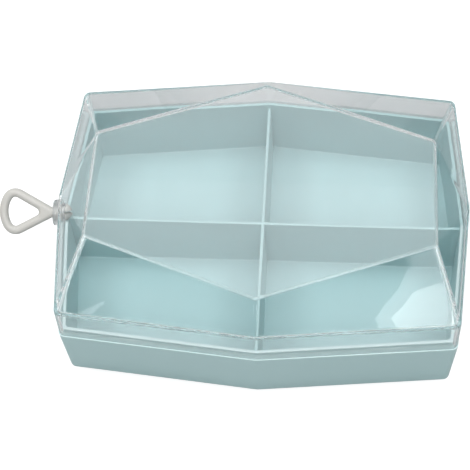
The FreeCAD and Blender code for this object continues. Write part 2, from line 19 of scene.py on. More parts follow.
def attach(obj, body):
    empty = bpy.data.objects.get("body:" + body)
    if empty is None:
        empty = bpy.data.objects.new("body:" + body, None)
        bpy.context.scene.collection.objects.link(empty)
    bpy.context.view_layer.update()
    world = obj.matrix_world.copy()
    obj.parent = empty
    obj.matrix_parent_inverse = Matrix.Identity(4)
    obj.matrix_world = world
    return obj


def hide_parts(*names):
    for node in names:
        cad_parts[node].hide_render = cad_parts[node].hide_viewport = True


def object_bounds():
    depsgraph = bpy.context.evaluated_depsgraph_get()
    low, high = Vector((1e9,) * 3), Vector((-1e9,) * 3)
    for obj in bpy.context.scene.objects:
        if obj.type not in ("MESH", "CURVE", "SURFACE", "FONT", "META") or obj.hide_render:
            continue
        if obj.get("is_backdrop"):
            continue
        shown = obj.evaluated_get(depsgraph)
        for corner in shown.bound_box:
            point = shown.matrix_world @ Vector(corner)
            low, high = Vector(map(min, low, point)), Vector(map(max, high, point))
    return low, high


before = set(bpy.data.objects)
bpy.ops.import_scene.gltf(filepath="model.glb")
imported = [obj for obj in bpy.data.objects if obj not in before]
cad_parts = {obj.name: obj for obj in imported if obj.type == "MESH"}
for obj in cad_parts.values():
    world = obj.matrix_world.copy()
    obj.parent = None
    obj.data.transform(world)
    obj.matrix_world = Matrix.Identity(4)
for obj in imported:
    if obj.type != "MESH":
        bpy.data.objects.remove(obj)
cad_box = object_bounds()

log = logging.getLogger("storage_box")

MM = 0.001
PHOTO_PIXELS = 470
SENSOR_WIDTH = 36.0

# Segments of each rounded vertex of the plan, of each of its straight sides, of a soft edge's
# curve, of the round of the tray's foot, round a turned piece, of half a bead's length, round a
# bead, and of the paper's upturn
ARC_STEPS = 8
SIDE_STEPS = 6
SOFT_STEPS = 4
FOOT_STEPS = 6
TURNED_STEPS = 48
BEAD_STEPS = 8
BEAD_SIDES = 12
UPTURN_STEPS = 12

# Segments at each end of a corner's arc that have the finish of the facets beside it
CORNER_MARGIN = 2

# Metres within which two points of a mesh are one, and within which a face is on the flat top
WELD = 1e-8
LEVEL = 1e-6

Ring = list[Vector]

# Ring of a skin, and whether the strip of faces after it belongs to a rounded edge
Row = tuple[Ring, bool]


class Body(Enum):
    """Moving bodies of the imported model."""

    BASE = "base"
    COVER = "cover"
    LOOP = "loop"


class TrayZone(IntEnum):
    """Parts of the tray's surface that differ in finish, with their material numbers; the rim's
    paler colour is a painted highlight.
    """

    WALL = 0
    RIM = 1


class LidZone(IntEnum):
    """Parts of the lid's surface that differ in finish, with their material numbers."""

    FACET = 0
    EDGE = 1
    BOSS = 2
    TOP = 3
    RIM = 4


class Join(Enum):
    """Ways in which one solid mesh changes another."""

    UNION = "UNION"
    DIFFERENCE = "DIFFERENCE"


# Ring and mesh helpers


def rounded(points: Sequence[Vector], radii: Sequence[float], steps: int = ARC_STEPS) -> list[Ring]:
    """Round every vertex of a level convex polygon.

    Args:
        points: Vertices, counter-clockwise.
        radii: Radius of each vertex.
        steps: Segments of each arc.

    Returns:
        The arc of each vertex.
    """
    arcs = []
    for i, (vertex, radius) in enumerate(zip(points, radii)):
        behind = (points[i - 1] - vertex).normalized()
        ahead = (points[(i + 1) % len(points)] - vertex).normalized()
        half = behind.angle(ahead) / 2
        centre = vertex + (behind + ahead).normalized() * (radius / math.sin(half))
        spoke = vertex + behind * (radius / math.tan(half)) - centre
        turn = math.pi - 2 * half
        arcs.append([
            centre + Matrix.Rotation(turn * k / steps, 3, "Z") @ spoke
            for k in range(steps + 1)
        ])
    return arcs


def between(start: Vector, end: Vector, steps: int = SIDE_STEPS) -> Ring:
    """Points strictly between two points, evenly spaced."""
    return [start.lerp(end, k / steps) for k in range(1, steps)]


def along(start: Vector, end: Vector, steps: int = ARC_STEPS) -> Ring:
    """Points from one point to another, both included."""
    return [start, *between(start, end, steps), end]


def stepped(ring: Ring, towards: Ring, distance: float) -> Ring:
    """Ring moved a fixed distance towards another ring."""
    return [here + (there - here).normalized() * distance for here, there in zip(ring, towards)]


def soft_edge(low: Ring, edge: Ring, high: Ring, steps: int = SOFT_STEPS) -> list[Ring]:
    """Replace a sharp edge by a smooth curve between two rings.

    Args:
        low: Ring where the curve starts.
        edge: Ring of the sharp edge.
        high: Ring where the curve ends.
        steps: Segments of the curve.

    Returns:
        The curve's rings, first and last included.
    """
    rings = []
    for k in range(steps + 1):
        t = k / steps
        rings.append([
            a * (1 - t) ** 2 + b * (2 * t * (1 - t)) + c * t ** 2
            for a, b, c in zip(low, edge, high)
        ])
    return rings


def edge_rows(rings: Sequence[Ring]) -> list[Row]:
    """Rows of a rounded edge, whose last ring starts the next facet."""
    return [*[(ring, True) for ring in rings[:-1]], (rings[-1], False)]


def facet_rows(low: Ring, high: Ring, steps: int = SIDE_STEPS) -> list[Row]:
    """Rows strictly between two rings of a facet, evenly spaced."""
    return [([a.lerp(b, k / steps) for a, b in zip(low, high)], False) for k in range(1, steps)]


def turned(profile: Iterable[tuple[float, float]], steps: int = TURNED_STEPS) -> list[Ring]:
    """Rings of a piece turned about the X axis.

    Args:
        profile: Pairs of a place along X and a radius.
        steps: Segments round the axis.

    Returns:
        One ring for each pair.
    """
    angles = [2 * math.pi * k / steps for k in range(steps)]
    return [[Vector((x, r * math.cos(a), r * math.sin(a))) for a in angles] for x, r in profile]


def skin(
    name: str,
    rings: Sequence[Ring],
    closed: bool = False,
    place: Matrix | None = None,
    finish: Callable[[int, int], int] | None = None,
) -> bpy.types.Object:
    """Make an object whose mesh runs through a stack of rings.

    Args:
        name: The object's name.
        rings: Rings with matching points, in millimetres.
        closed: True if the last ring joins the first; if not, both ends are capped.
        place: Placement of the rings in millimetres.
        finish: Gives a face's material number from the numbers of its ring and of its point.

    Returns:
        The new object, in metres.
    """
    made = bmesh.new()
    place = place or Matrix.Identity(4)
    loops = [[made.verts.new((place @ point) * MM) for point in ring] for ring in rings]
    count = len(rings[0])
    pairs = list(zip(loops, loops[1:]))
    if closed:
        pairs.append((loops[-1], loops[0]))
    else:
        made.faces.new(reversed(loops[0]))
        made.faces.new(loops[-1])
    for row, (lower, upper) in enumerate(pairs):
        for i in range(count):
            j = (i + 1) % count
            face = made.faces.new((lower[i], lower[j], upper[j], upper[i]))
            if finish:
                face.material_index = finish(row, i)
    bmesh.ops.remove_doubles(made, verts=made.verts, dist=WELD)
    bmesh.ops.dissolve_degenerate(made, edges=made.edges, dist=WELD)
    bmesh.ops.recalc_face_normals(made, faces=made.faces)
    mesh = bpy.data.meshes.new(name)
    made.to_mesh(mesh)
    made.free()
    piece = bpy.data.objects.new(name, mesh)
    bpy.context.scene.collection.objects.link(piece)
    return piece


def join(piece: bpy.types.Object, tool: bpy.types.Object, how: Join) -> None:
    """Add one closed mesh to another, or cut it away, and drop the tool.

    Args:
        piece: Object whose mesh is changed.
        tool: Object that is used up.
        how: Whether the tool is added or cut away.
    """
    modifier = piece.modifiers.new(tool.name, "BOOLEAN")
    modifier.operation = how.value
    modifier.solver = "EXACT"
    modifier.object = tool
    evaluated = piece.evaluated_get(bpy.context.evaluated_depsgraph_get())
    mesh = bpy.data.meshes.new_from_object(evaluated)
    piece.modifiers.remove(modifier)
    old = piece.data
    piece.data = mesh
    mesh.name = piece.name
    bpy.data.meshes.remove(old)
    tool_mesh = tool.data
    bpy.data.objects.remove(tool)
    bpy.data.meshes.remove(tool_mesh)


def smooth(piece: bpy.types.Object, sharp: float, flat: int = 100) -> None:
    """Shade a piece smooth, with flat faces kept flat.

    Args:
        piece: Object to shade.
        sharp: Angle in degrees above which an edge stays sharp.
        flat: Say of the largest face in a vertex's normal, from 50 for its share of the area
            to 100 for all of it.
    """
    piece.data.shade_smooth()
    piece.data.set_sharp_from_angle(angle=math.radians(sharp))
    weighted = piece.modifiers.new("flat_faces", "WEIGHTED_NORMAL")
    weighted.mode = "FACE_AREA"
    weighted.weight = flat
    weighted.keep_sharp = True


# Finishes


def linear(colour: str) -> tuple[float, float, float, float]:
    """Turn an sRGB hex colour into linear light.

    Args:
        colour: Hex colour with its leading sign.

    Returns:
        Red, green and blue, and an alpha of one.
    """
    channels = [int(colour[i:i + 2], 16) / 255 for i in (1, 3, 5)]
    values = [c / 12.92 if c <= 0.04045 else ((c + 0.055) / 1.055) ** 2.4 for c in channels]
    return (values[0], values[1], values[2], 1.0)


def add_node(
    tree: bpy.types.NodeTree,
    kind: str,
    settings: dict[str, Any] | None = None,
    values: dict[str | int, Any] | None = None,
    links: dict[str | int, bpy.types.NodeSocket] | None = None,
) -> bpy.types.Node:
    """Add a node to a tree.

    Args:
        tree: The node tree.
        kind: Blender's type name of the node.
        settings: Properties of the node.
        values: Values of its inputs, by name or number.
        links: Output sockets that feed its inputs, by name or number.

    Returns:
        The new node.
    """
    node = tree.nodes.new(kind)
    for key, value in (settings or {}).items():
        setattr(node, key, value)
    for key, value in (values or {}).items():
        node.inputs[key].default_value = value
    for key, source in (links or {}).items():
        tree.links.new(source, node.inputs[key])
    return node


def new_material(name: str) -> bpy.types.Material:
    """Make a material with an empty node tree.

    Args:
        name: The material's name.

    Returns:
        The new material.
    """
    material = bpy.data.materials.new(name)
    material.use_nodes = True
    material.node_tree.nodes.clear()
    return material


@dataclass(frozen=True)
class MouldedPlastic:
    """Opaque injection-moulded plastic with the fine grain of a spark-eroded mould.

    The pigment is even, with a faint cloudiness where the melt flowed, and the grain breaks
    the gloss up into a satin sheen.
    """

    name: str
    colour: str
    flow_colour: str
    roughness: float
    ior: float
    flow_size: float = 26.0
    # A real grain of about 0.06 mm wouldn't show, so it is drawn coarser
    grain_size: float = 0.3
    grain_depth: float = 0.004
    grain_strength: float = 0.02
    gloss_spread: float = 0.03
    scatter: float = 0.0
    scatter_depth: float = 1.0
    scatter_tint: tuple[float, float, float] = (1.0, 1.0, 0.9)

    def material(self) -> bpy.types.Material:
        """Make the node material.

        Returns:
            The new material.
        """
        material = new_material(self.name)
        tree = material.node_tree
        place = add_node(tree, "ShaderNodeTexCoord").outputs["Object"]
        flow = add_node(
            tree, "ShaderNodeTexNoise",
            values={"Scale": 1 / (self.flow_size * MM), "Detail": 3.0, "Distortion": 0.6},
            links={"Vector": place},
        )
        grain = add_node(
            tree, "ShaderNodeTexNoise",
            values={"Scale": 1 / (self.grain_size * MM), "Detail": 2.0},
            links={"Vector": place},
        )
        colour = add_node(
            tree, "ShaderNodeMix",
            settings={"data_type": "RGBA"},
            values={6: linear(self.colour), 7: linear(self.flow_colour)},
            links={0: flow.outputs["Fac"]},
        )
        gloss = add_node(
            tree, "ShaderNodeMapRange",
            values={
                "To Min": self.roughness - self.gloss_spread,
                "To Max": self.roughness + self.gloss_spread,
            },
            links={"Value": grain.outputs["Fac"]},
        )
        bump = add_node(
            tree, "ShaderNodeBump",
            values={"Strength": self.grain_strength, "Distance": self.grain_depth * MM},
            links={"Height": grain.outputs["Fac"]},
        )
        surface = add_node(
            tree, "ShaderNodeBsdfPrincipled",
            values={
                "IOR": self.ior,
                "Subsurface Weight": self.scatter,
                "Subsurface Radius": self.scatter_tint,
                "Subsurface Scale": self.scatter_depth * MM,
            },
            links={
                "Base Color": colour.outputs[2],
                "Roughness": gloss.outputs["Result"],
                "Normal": bump.outputs["Normal"],
            },
        )
        add_node(tree, "ShaderNodeOutputMaterial", links={"Surface": surface.outputs["BSDF"]})
        return material


@dataclass(frozen=True)
class ClearPlastic:
    """Water-clear injection-moulded polystyrene from a polished mould.

    It mirrors the lamps at the strength of its high index, bends what is seen through it and is
    very slightly grey. The mould's polish leaves a faint long waviness. A share of haze mixes in a
    milky diffuse layer: frosting on the grained boss, and elsewhere painted veils and painted
    highlight lines. Rays from lamps and light scattered inside the box go straight through, which
    stands for its caustics.
    """

    name: str
    colour: str
    pass_colour: str
    roughness: float
    ior: float
    haze: float = 0.0
    wave_size: float = 18.0
    wave_depth: float = 0.004
    wave_strength: float = 0.5

    def material(self) -> bpy.types.Material:
        """Make the node material.

        Returns:
            The new material.
        """
        material = new_material(self.name)
        tree = material.node_tree
        place = add_node(tree, "ShaderNodeTexCoord").outputs["Object"]
        wave = add_node(
            tree, "ShaderNodeTexNoise",
            values={"Scale": 1 / (self.wave_size * MM), "Detail": 1.0},
            links={"Vector": place},
        )
        bump = add_node(
            tree, "ShaderNodeBump",
            values={"Strength": self.wave_strength, "Distance": self.wave_depth * MM},
            links={"Height": wave.outputs["Fac"]},
        )
        clear = add_node(
            tree, "ShaderNodeBsdfPrincipled",
            values={
                "Base Color": linear(self.colour),
                "Roughness": self.roughness,
                "IOR": self.ior,
                "Transmission Weight": 1.0,
            },
            links={"Normal": bump.outputs["Normal"]},
        )
        milk = add_node(tree, "ShaderNodeBsdfDiffuse", values={"Color": linear(self.colour)})
        body = add_node(
            tree, "ShaderNodeMixShader",
            values={0: self.haze},
            links={1: clear.outputs["BSDF"], 2: milk.outputs["BSDF"]},
        )
        straight = add_node(
            tree, "ShaderNodeBsdfTransparent", values={"Color": linear(self.pass_colour)}
        )
        path = add_node(tree, "ShaderNodeLightPath")
        passing = add_node(
            tree, "ShaderNodeMath",
            settings={"operation": "MAXIMUM"},
            links={0: path.outputs["Is Shadow Ray"], 1: path.outputs["Is Diffuse Ray"]},
        )
        surface = add_node(
            tree, "ShaderNodeMixShader",
            links={0: passing.outputs[0], 1: body.outputs["Shader"], 2: straight.outputs["BSDF"]},
        )
        add_node(tree, "ShaderNodeOutputMaterial", links={"Surface": surface.outputs["Shader"]})
        return material


@dataclass(frozen=True)
class PaperFloor:
    """Matt white background paper, seen as white where no shadow falls on it."""

    name: str = "white_paper"
    colour: str = "#b4b4b4"
    # Light that the camera sees on top of what the lamps give the paper, and the share of it
    # that gloss and the clear lid show too
    glow: float = 0.65
    share: float = 0.24

    def material(self) -> bpy.types.Material:
        """Make the node material.

        Returns:
            The new material.
        """
        material = new_material(self.name)
        tree = material.node_tree
        paper = add_node(tree, "ShaderNodeBsdfDiffuse", values={"Color": linear(self.colour)})
        path = add_node(tree, "ShaderNodeLightPath")
        through = add_node(
            tree, "ShaderNodeMath",
            settings={"operation": "MAXIMUM"},
            links={0: path.outputs["Is Glossy Ray"], 1: path.outputs["Is Transmission Ray"]},
        )
        seen = add_node(
            tree, "ShaderNodeMath",
            settings={"operation": "MULTIPLY_ADD"},
            values={1: self.share},
            links={0: through.outputs[0], 2: path.outputs["Is Camera Ray"]},
        )
        strength = add_node(
            tree, "ShaderNodeMath",
            settings={"operation": "MULTIPLY"},
            values={1: self.glow},
            links={0: seen.outputs[0]},
        )
        glow = add_node(tree, "ShaderNodeEmission", links={"Strength": strength.outputs[0]})
        surface = add_node(
            tree, "ShaderNodeAddShader",
            links={0: paper.outputs["BSDF"], 1: glow.outputs["Emission"]},
        )
        add_node(tree, "ShaderNodeOutputMaterial", links={"Surface": surface.outputs["Shader"]})
        return material


# Filled pastel plastic: a satin, slightly waxy surface, with light softened in thin walls
TRAY_POLYPROPYLENE = MouldedPlastic(
    name="moulded_teal_polypropylene",
    colour="#aac8ca",
    flow_colour="#a7c6c8",
    roughness=0.42,
    ior=1.49,
    scatter=0.15,
    scatter_depth=1.0,
)
# Rims and beads are glossier, and their paler colour is a painted highlight that draws white lines
# along them
TRAY_RIMS_PAINTED_HIGHLIGHT = replace(
    TRAY_POLYPROPYLENE,
    name="glossy_teal_polypropylene_painted_highlight",
    colour="#c8dcdd",
    flow_colour="#c5dadb",
    roughness=0.2,
)
# Brittle and glass-clear: crisp mirror images of the lamps over a clear view inside
LID_POLYSTYRENE = ClearPlastic(
    name="moulded_clear_polystyrene",
    colour="#f0f1f2",
    pass_colour="#f5f7f7",
    roughness=0.015,
    ior=1.57,
)
# The flat top's thin milky haze is a painted veil, an even pale film over what is seen through it
# that stands in for the lamps' reflection
LID_TOP = replace(LID_POLYSTYRENE, name="clear_polystyrene_painted_veil", haze=0.11)
# Rounded edges are glossy, and their pale milky haze is a painted highlight that makes them stand
# out as pale lines
LID_EDGES = replace(
    LID_POLYSTYRENE,
    name="clear_polystyrene_painted_edge_highlight",
    colour="#dfe6e7",
    roughness=0.2,
    haze=0.11,
)
# The band just above the rim has a milky grey-teal haze, a painted veil over the band
LID_RIM = replace(LID_POLYSTYRENE, name="clear_polystyrene_painted_band_veil", colour="#dcecec", haze=0.34)
# The boss comes from a grained pocket of the mould, so it is frosted and blurs its stem
LID_BOSS = replace(
    LID_POLYSTYRENE,
    name="grained_clear_polystyrene",
    colour="#d2d2d2",
    roughness=0.45,
    haze=0.12,
)
# Natural white and bendy: a soft greyish white with a dull waxy sheen
LOOP_POLYETHYLENE = MouldedPlastic(
    name="moulded_white_polyethylene",
    colour="#bab9b5",
    flow_colour="#b7b6b1",
    roughness=0.45,
    ior=1.51,
    flow_size=8.0,
    scatter=0.15,
    scatter_depth=0.8,
)

TRAY_FINISHES = {TrayZone.WALL: TRAY_POLYPROPYLENE, TrayZone.RIM: TRAY_RIMS_PAINTED_HIGHLIGHT}
LID_FINISHES = {
    LidZone.FACET: LID_POLYSTYRENE,
    LidZone.EDGE: LID_EDGES,
    LidZone.BOSS: LID_BOSS,
    LidZone.TOP: LID_TOP,
    LidZone.RIM: LID_RIM,
}


# Pieces


@dataclass(frozen=True)
class Plan:
    """Eight-sided plan of the box at the lid's fold, each side bowed outward to a ridge."""

    end_reach: float = 60.0
    end_bow: float = 3.4
    side_reach: float = 45.0
    side_bow: float = 5.7
    corner_round: float = 2.0
    ridge_round: float = 6.0

    def vertices(self, inset: float, height: float) -> list[Vector]:
        """Place the plan's vertices.

        Args:
            inset: Distance that the plan is drawn in.
            height: Height of the vertices.

        Returns:
            Ridges and corners by turns, counter-clockwise from the ridge at +X.
        """
        end = self.end_reach - inset
        corner_x = end - self.end_bow
        side = self.side_reach - inset
        corner_y = side - self.side_bow
        places = [
            (end, 0), (corner_x, corner_y), (0, side), (-corner_x, corner_y),
            (-end, 0), (-corner_x, -corner_y), (0, -side), (corner_x, -corner_y),
        ]
        return [Vector((x, y, height)) for x, y in places]

    def ring(self, inset: float, height: float, corner_round: float) -> Ring:
        """Make the ring of the plan at an inset and a height.

        Args:
            inset: Distance that the plan is drawn in.
            height: Height of the ring.
            corner_round: Radius of the four corners.

        Returns:
            The ring, with an arc at each vertex and evenly spaced points on each side.
        """
        arcs = rounded(self.vertices(inset, height), [self.ridge_round, corner_round] * 4)
        ring = []
        for arc, following in zip(arcs, arcs[1:] + arcs[:1]):
            ring += [*arc, *between(arc[-1], following[0])]
        return ring


@dataclass
class Tray:
    """Opaque tray: drafted walls, lip, four compartments and snap beads, in one moulding."""

    plan: Plan
    height: float = 20.4
    flare: float = 0.235
    foot_inset: float = 0.7
    foot_round: float = 0.4
    rim_soft: float = 0.2
    lip_inset: float = 1.3
    lip_height: float = 2.9
    lip_wall: float = 0.9
    lip_round: float = 0.65
    lip_soft: float = 0.25
    floor_inset: float = 2.3
    floor_thick: float = 1.5
    floor_round: float = 0.4
    pocket_round: float = 1.0
    divider_top: float = 1.0
    divider_foot: float = 1.7
    divider_drop: float = 1.9
    divider_soft: float = 0.35
    divider_root: float = 0.5
    bead_x: float = 37.0
    bead_length: float = 10.0
    bead_height: float = 0.8
    bead_proud: float = 0.15
    bead_drop: float = 1.7
    # Power by which a bead's ends fall away, and the share of its section at the very ends
    bead_blunt: int = 6
    bead_end: float = 0.02
    notch_half: float = 2.8
    notch_foot: float = 21.6

    @property
    def lip_top(self) -> float:
        """Height of the lip's top."""
        return self.height + self.lip_height

    def wall_inset(self, height: float) -> float:
        """Inset of the drafted outer wall at a height."""
        return self.foot_inset - (self.foot_inset + self.flare) * height / self.height

    def pocket_inset(self, height: float) -> float:
        """Work out the inset of the drafted pocket's wall.

        Args:
            height: Height on the wall.

        Returns:
            The inset there.
        """
        mouth = self.lip_inset + self.lip_wall
        share = (self.lip_top - height) / (self.lip_top - self.floor_thick)
        return mouth + (self.floor_inset - mouth) * share

    def shell_rings(self) -> list[Ring]:
        """Make the rings of the tray without its dividers, beads and notch.

        Returns:
            Rings from the underside's edge up the wall, over the lip and down to the floor.
        """
        ring = self.plan.ring
        corner = self.plan.corner_round
        rings = []
        for k in range(FOOT_STEPS + 1):
            angle = math.pi / 2 * k / FOOT_STEPS
            rise = self.foot_round * (1 - math.cos(angle))
            draw = self.foot_round * (1 - math.sin(angle))
            rings.append(ring(self.wall_inset(rise) + draw, rise, corner - draw))
        soft = self.rim_soft
        rings += soft_edge(
            ring(self.wall_inset(self.height - soft), self.height - soft, corner),
            ring(-self.flare, self.height, corner),
            ring(soft - self.flare, self.height, corner - soft),
        )
        soft = self.lip_soft
        rings.append(ring(self.lip_inset, self.height, self.lip_round))
        rings += soft_edge(
            ring(self.lip_inset, self.lip_top - soft, self.lip_round),
            ring(self.lip_inset, self.lip_top, self.lip_round),
            ring(self.lip_inset + soft, self.lip_top, self.lip_round - soft),
        )
        mouth = self.lip_inset + self.lip_wall
        rings += soft_edge(
            ring(mouth - soft, self.lip_top, self.pocket_round + soft),
            ring(mouth, self.lip_top, self.pocket_round),
            ring(self.pocket_inset(self.lip_top - soft), self.lip_top - soft, self.pocket_round),
        )
        for k in range(SOFT_STEPS + 1):
            angle = math.pi / 2 * k / SOFT_STEPS
            rise = self.floor_thick + self.floor_round * (1 - math.sin(angle))
            draw = self.floor_round * (1 - math.cos(angle))
            rings.append(ring(self.pocket_inset(rise) + draw, rise, self.pocket_round - draw))
        return rings

    def divider_section(self) -> list[tuple[float, float]]:
        """Make the half section of a divider.

        Returns:
            Pairs of half width and height, from the root up.
        """
        crest = self.lip_top - self.divider_drop
        soft = self.divider_soft
        foot, top = self.divider_foot / 2, self.divider_top / 2
        section = [(foot + self.divider_root, self.floor_thick - self.divider_root)]
        for k in range(SOFT_STEPS + 1):
            angle = math.pi / 2 * k / SOFT_STEPS
            section.append((
                foot + self.divider_root * (1 - math.sin(angle)),
                self.floor_thick + self.divider_root * (1 - math.cos(angle)),
            ))
        for k in range(SOFT_STEPS + 1):
            angle = math.pi / 2 * k / SOFT_STEPS
            section.append((
                top - soft * (1 - math.cos(angle)),
                crest - soft * (1 - math.sin(angle)),
            ))
        return section

    def divider(self, name: str, reach: float, across: bool) -> bpy.types.Object:
        """Make one divider.

        Args:
            name: Name of the object.
            reach: Distance of each end from the middle of the box.
            across: True for the divider that runs from front to back.

        Returns:
            The divider, run into the walls.
        """
        half = self.divider_section()
        outline = [*half, *[(-w, z) for w, z in reversed(half)]]
        turn = Matrix.Rotation(math.pi / 2, 4, "Z") if across else Matrix.Identity(4)
        ends = [[Vector((x, w, z)) for w, z in outline] for x in (-reach, reach)]
        return skin(name, ends, place=turn)

    def bead(self, name: str, x_sign: int, y_sign: int) -> bpy.types.Object:
        """Make one snap bead on a half of a long side of the lip.

        Args:
            name: Name of the object.
            x_sign: Side of the box along X.
            y_sign: Side of the box along Y.

        Returns:
            The bead, sunk into the lip's wall.
        """
        side = self.plan.side_reach - self.lip_inset
        slope = self.plan.side_bow / (self.plan.end_reach - self.plan.end_bow - self.lip_inset)
        level = self.lip_top - self.bead_drop
        rings = []
        for k in range(-BEAD_STEPS, BEAD_STEPS + 1):
            share = k / BEAD_STEPS
            x = self.bead_x + share * self.bead_length / 2
            full = max(1 - abs(share) ** self.bead_blunt, self.bead_end)
            ring = []
            for j in range(BEAD_SIDES):
                angle = 2 * math.pi * j / BEAD_SIDES
                out = self.bead_proud * full * math.cos(angle)
                rise = self.bead_height / 2 * full ** 0.5 * math.sin(angle)
                ring.append(Vector((x_sign * x, y_sign * (side - slope * x + out), level + rise)))
            rings.append(ring)
        # The bead takes the rims' glossy finish, whose paler colour is a painted highlight dash
        return skin(name, rings, finish=lambda row, column: TrayZone.RIM)

    def notch(self) -> bpy.types.Object:
        """Make the block that notches the lip for the hanging eye's head.

        Returns:
            The block, to be cut away.
        """
        half, foot, top = self.notch_half, self.notch_foot, self.lip_top + self.lip_height
        outline = [(-half, foot), (half, foot), (half, top), (-half, top)]
        end = self.plan.end_reach
        inner = end - self.lip_inset - 2 * self.lip_wall
        places = (-end - self.lip_wall, -inner)
        return skin("notch", [[Vector((x, y, z)) for y, z in outline] for x in places])

    def build(self) -> bpy.types.Object:
        """Build the tray's mesh.

        Returns:
            The tray, with an empty material for each zone.
        """
        tray = skin("tray", self.shell_rings())
        for _ in TrayZone:
            tray.data.materials.append(None)
        end = self.lip_inset + self.lip_wall / 2
        join(tray, self.divider("long_divider", self.plan.end_reach - end, False), Join.UNION)
        join(tray, self.divider("cross_divider", self.plan.side_reach - end, True), Join.UNION)
        for x_sign in (1, -1):
            for y_sign in (1, -1):
                join(tray, self.bead("snap_bead", x_sign, y_sign), Join.UNION)
        join(tray, self.notch(), Join.DIFFERENCE)
        return tray

    def dress(self, tray: bpy.types.Object) -> None:
        """Shade the tray and give its walls, and its rims and beads, their finishes; the rims' and
        beads' paler colour is a painted highlight.

        Args:
            tray: The tray, with its beads numbered already.
        """
        smooth(tray, sharp=40.0)
        for zone, finish in TRAY_FINISHES.items():
            tray.data.materials[zone] = finish.material()
        for face in tray.data.polygons:
            height = face.center.z / MM
            # The lip's top along its front half, like the rim's soft edge, gets the paler colour as
            # a painted highlight line
            lip_painted_highlight = height > self.lip_top - self.lip_soft and face.center.y < 0
            if lip_painted_highlight or 0 < self.height - height < self.rim_soft:
                face.material_index = TrayZone.RIM


@dataclass
class Lid:
    """Clear lid: flared skirt, faceted crown with a flat six-sided top, and the eye's boss."""

    plan: Plan
    mouth_height: float = 20.4
    wall: float = 1.1
    flare: float = 0.05
    rim_soft: float = 0.2
    skirt_height: float = 12.1
    fold_soft: float = 0.6
    grip: float = 2.9
    crown_height: float = 8.399
    crown_end_run: float = 10.2
    crown_side_run: float = 8.1
    crown_end_half: float = 18.1
    crown_round: float = 1.5
    brow_soft: float = 0.55
    inner_soft: float = 0.4
    swivel_height: float = 24.4
    boss_radius: float = 3.9
    boss_tip_radius: float = 3.85
    boss_proud: float = 2.3
    boss_root: float = 0.8
    boss_soft: float = 0.4
    # Distance past the end ridge from which a face belongs to the boss
    boss_start: float = 0.2
    seat_radius: float = 2.5
    seat_root: float = 0.5
    seat_face: float = 1.5
    bore_radius: float = 1.58

    @property
    def fold_height(self) -> float:
        """Height of the fold between skirt and crown."""
        return self.mouth_height + self.skirt_height

    @property
    def top(self) -> float:
        """Height of the flat top."""
        return self.fold_height + self.crown_height

    def crown_ring(self, inset: float, height: float) -> Ring:
        """Make the ring of the crown's hexagon, with a point for each point of the plan's ring.

        Args:
            inset: Distance that the hexagon is drawn in.
            height: Height of the ring.

        Returns:
            The ring. The plan's end ridges meet the hexagon's ends, and its end sides meet
            the hexagon's corners.
        """
        x = self.plan.end_reach - self.crown_end_run - inset
        y = self.crown_end_half - inset
        side = self.plan.side_reach - self.crown_side_run - inset
        places = [(x, -y), (x, y), (0, side), (-x, y), (-x, -y), (0, -side)]
        corners = [Vector((px, py, height)) for px, py in places]
        front_right, back_right, back, back_left, front_left, front = rounded(
            corners, [self.crown_round] * 6
        )
        dots = SIDE_STEPS - 1
        return [
            *along(front_right[-1], back_right[0]), *[back_right[0]] * dots,
            *back_right, *between(back_right[-1], back[0]),
            *back, *between(back[-1], back_left[0]),
            *back_left, *[back_left[-1]] * dots,
            *along(back_left[-1], front_left[0]), *[front_left[0]] * dots,
            *front_left, *between(front_left[-1], front[0]),
            *front, *between(front[-1], front_right[0]),
            *front_right, *[front_right[-1]] * dots,
        ]

    def inner_rows(self) -> list[Row]:
        """Make the rows of the inside.

        Returns:
            Rows from the flat top down to the mouth.
        """
        slope = math.atan2(self.crown_height, self.crown_end_run)
        fold_height = self.fold_height - self.wall * math.tan((math.pi / 2 - slope) / 2)
        crown_inset = self.wall * math.tan(slope / 2)
        corner = self.plan.corner_round - self.wall
        soft = self.inner_soft
        ceiling = self.top - self.wall
        crown = self.crown_ring(crown_inset, ceiling)
        fold = self.plan.ring(self.wall, fold_height, corner)
        mouth = self.plan.ring(self.wall - self.flare, self.mouth_height, corner)
        rim = self.rim_soft / 2
        sole = self.plan.ring(self.wall - self.flare - rim, self.mouth_height, corner + rim)
        brow_edge = soft_edge(
            self.crown_ring(crown_inset + soft, ceiling), crown, stepped(crown, fold, soft)
        )
        fold_edge = soft_edge(stepped(fold, crown, soft), fold, stepped(fold, mouth, soft))
        rim_edge = soft_edge(stepped(mouth, fold, rim), mouth, sole)
        return [
            *edge_rows(brow_edge), *facet_rows(brow_edge[-1], fold_edge[0]),
            *edge_rows(fold_edge), *edge_rows(rim_edge),
        ]

    def outer_rows(self) -> list[Row]:
        """Make the rows of the outside.

        Returns:
            Rows from the rim up to the flat top.
        """
        corner = self.plan.corner_round
        mouth = self.plan.ring(-self.flare, self.mouth_height, corner)
        sole = self.plan.ring(self.rim_soft - self.flare, self.mouth_height, corner - self.rim_soft)
        fold = self.plan.ring(0, self.fold_height, corner)
        crown = self.crown_ring(0, self.top)
        rim_edge = soft_edge(sole, mouth, stepped(mouth, fold, self.rim_soft))
        fold_edge = soft_edge(
            stepped(fold, mouth, self.fold_soft), fold, stepped(fold, crown, self.fold_soft)
        )
        brow_edge = soft_edge(
            stepped(crown, fold, self.brow_soft), crown, self.crown_ring(self.brow_soft, self.top)
        )
        return [
            *edge_rows(rim_edge), (stepped(mouth, fold, self.grip), False), *edge_rows(fold_edge),
            *facet_rows(fold_edge[-1], brow_edge[0]), *edge_rows(brow_edge),
        ]

    def turned_part(self, name: str, profile: Iterable[tuple[float, float]]) -> bpy.types.Object:
        """Make a round piece on the swivel's axis, with places measured from the end ridge."""
        place = Matrix.Translation((-self.plan.end_reach, 0, self.swivel_height))
        return skin(name, turned(profile), place=place)

    def build(self) -> bpy.types.Object:
        """Build the lid's mesh.

        Returns:
            The lid, with an empty material for each zone and its edges numbered.
        """
        rows = [*self.inner_rows(), *self.outer_rows()]

